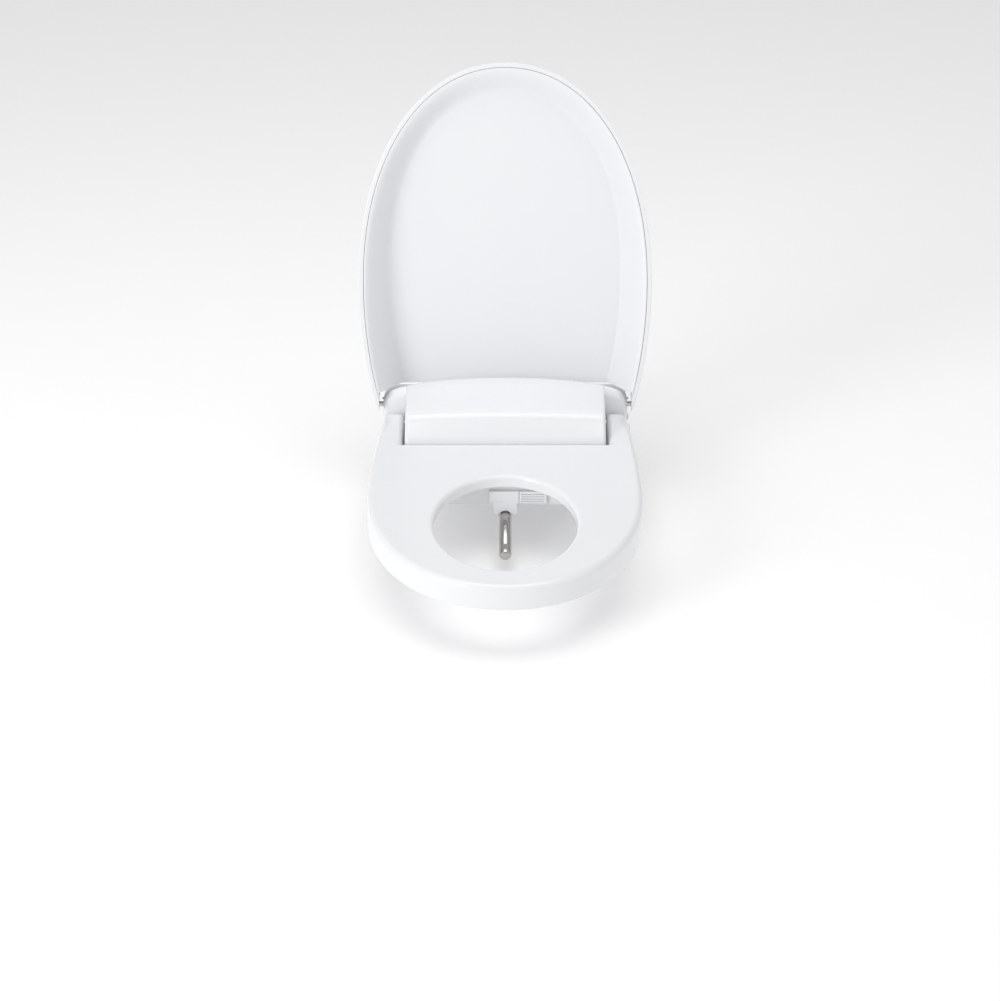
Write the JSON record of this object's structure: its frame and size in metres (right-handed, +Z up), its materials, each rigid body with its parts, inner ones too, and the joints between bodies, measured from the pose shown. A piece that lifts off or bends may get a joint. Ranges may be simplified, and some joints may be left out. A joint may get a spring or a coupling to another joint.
{
  "type": "electric bidet seat",
  "caption": "Electric bidet toilet seat with its lid open: slide-on main unit, heated seat ring, domed lid and an extended wash nozzle.",
  "frame": {"origin": "underside of the mounting plate, on the toilet's deck, midway between the two mounting bolts", "axes": "+X to the right of someone facing the seat, +Y to the back, +Z up"},
  "size_m": [0.39, 0.5415, 0.5767],
  "materials": {
    "gloss_white": "glossy moulded",
    "satin_white": "satin moulded",
    "grey_plastic": "matte moulded",
    "dark_plastic": "matte moulded",
    "rubber": "matte",
    "steel": "satin",
    "polished_metal": "polished",
    "circuit_board": "lacquered",
    "heating_foil": "satin"
  },
  "bodies": {
    "bracket": {"mounting_plate": "satin_white", "deck_bolt_left": "steel", "deck_bolt_right": "steel", "deck_washer_left": "rubber", "deck_washer_right": "rubber", "deck_nut_left": "satin_white", "deck_nut_right": "satin_white"},
    "main_unit": {"base_tray": "satin_white", "bay_cover": "satin_white", "case_screw_1": "steel", "case_screw_2": "steel", "case_screw_3": "steel", "case_screw_4": "steel", "control_board": "circuit_board", "drain_plug": "satin_white", "dryer_duct": "grey_plastic", "dryer_heater": "steel", "fan_housing": "grey_plastic", "fan_motor": "steel", "flow_valve": "grey_plastic", "hinge_block_left": "gloss_white", "hinge_block_right": "gloss_white", "lid_damper": "dark_plastic", "nozzle_guide": "satin_white", "nozzle_motor": "steel", "power_gland": "dark_plastic", "receiver_board": "circuit_board", "seat_damper": "dark_plastic", "solenoid_valve": "dark_plastic", "top_cover": "gloss_white", "water_heater": "grey_plastic", "water_inlet": "polished_metal"},
    "lid": {"lid_cover": "gloss_white", "lid_liner": "gloss_white", "lid_pin_left": "steel", "lid_pin_right": "steel"},
    "seat": {"seat_base": "satin_white", "seat_bumper_front_left": "rubber", "seat_bumper_front_right": "rubber", "seat_bumper_rear_left": "rubber", "seat_bumper_rear_right": "rubber", "seat_heater": "heating_foil", "seat_pin_left": "steel", "seat_pin_right": "steel", "seat_top": "gloss_white"},
    "nozzle": {"nozzle_tube": "polished_metal", "nozzle_tip": "polished_metal", "nozzle_rack": "grey_plastic"},
    "drive_pinion": {"drive_pinion": "grey_plastic"},
    "gate": {"nozzle_gate": "gloss_white"},
    "dryer_flap": {"dryer_flap": "gloss_white"},
    "fan": {"fan_impeller": "grey_plastic"},
    "release_button": {"release_button": "satin_white"},
    "power_button": {"power_button": "satin_white"},
    "deodoriser": {"deodoriser_cartridge": "grey_plastic"}
  },
  "joints": [
    {"name": "body_slide", "type": "slide", "parent": "bracket", "child": "main_unit", "axis": [0, 1, 0], "range_m": [-0.04, 0]},
    {"name": "lid_hinge", "type": "hinge", "parent": "main_unit", "child": "lid", "pos_m": [0, 0.01, 0.058], "axis": [-1, 0, 0], "range_deg": [-100, 0]},
    {"name": "seat_hinge", "type": "hinge", "parent": "main_unit", "child": "seat", "pos_m": [0, -0.012, 0.04], "axis": [-1, 0, 0], "range_deg": [0, 94]},
    {"name": "nozzle_slide", "type": "slide", "parent": "main_unit", "child": "nozzle", "axis": [0, -0.9397, -0.342], "range_m": [-0.062, 0]},
    {"name": "drive_pinion_spin", "type": "hinge", "parent": "main_unit", "child": "drive_pinion", "pos_m": [0, -0.07238, 0.0272], "axis": [1, 0, 0], "range_deg": [0, 475]},
    {"name": "gate_lift", "type": "hinge", "parent": "main_unit", "child": "gate", "pos_m": [0, -0.1726, 0.021], "axis": [-1, 0, 0], "range_deg": [0, 25]},
    {"name": "dryer_flap_hinge", "type": "hinge", "parent": "main_unit", "child": "dryer_flap", "pos_m": [0.036, -0.1726, 0.021], "axis": [-1, 0, 0], "range_deg": [0, 35]},
    {"name": "fan_spin", "type": "hinge", "parent": "main_unit", "child": "fan", "pos_m": [0.076, -0.03, 0.013], "axis": [0, 0, 1], "continuous": true},
    {"name": "release_button_press", "type": "slide", "parent": "main_unit", "child": "release_button", "axis": [-1, 0, 0], "range_m": [0, 0.004], "stiffness_N_per_m": 600, "springref_m": -0.001},
    {"name": "power_button_press", "type": "slide", "parent": "main_unit", "child": "power_button", "axis": [-1, 0, 0], "range_m": [0, 0.0015], "stiffness_N_per_m": 600, "springref_m": -0.001},
    {"name": "deodoriser_slide", "type": "slide", "parent": "main_unit", "child": "deodoriser", "axis": [1, 0, 0], "range_m": [0, 0.03]}
  ],
  "couplings": [
    {"joint": "drive_pinion_spin", "follows": "nozzle_slide", "rad_per_m": -133.33}
  ]
}
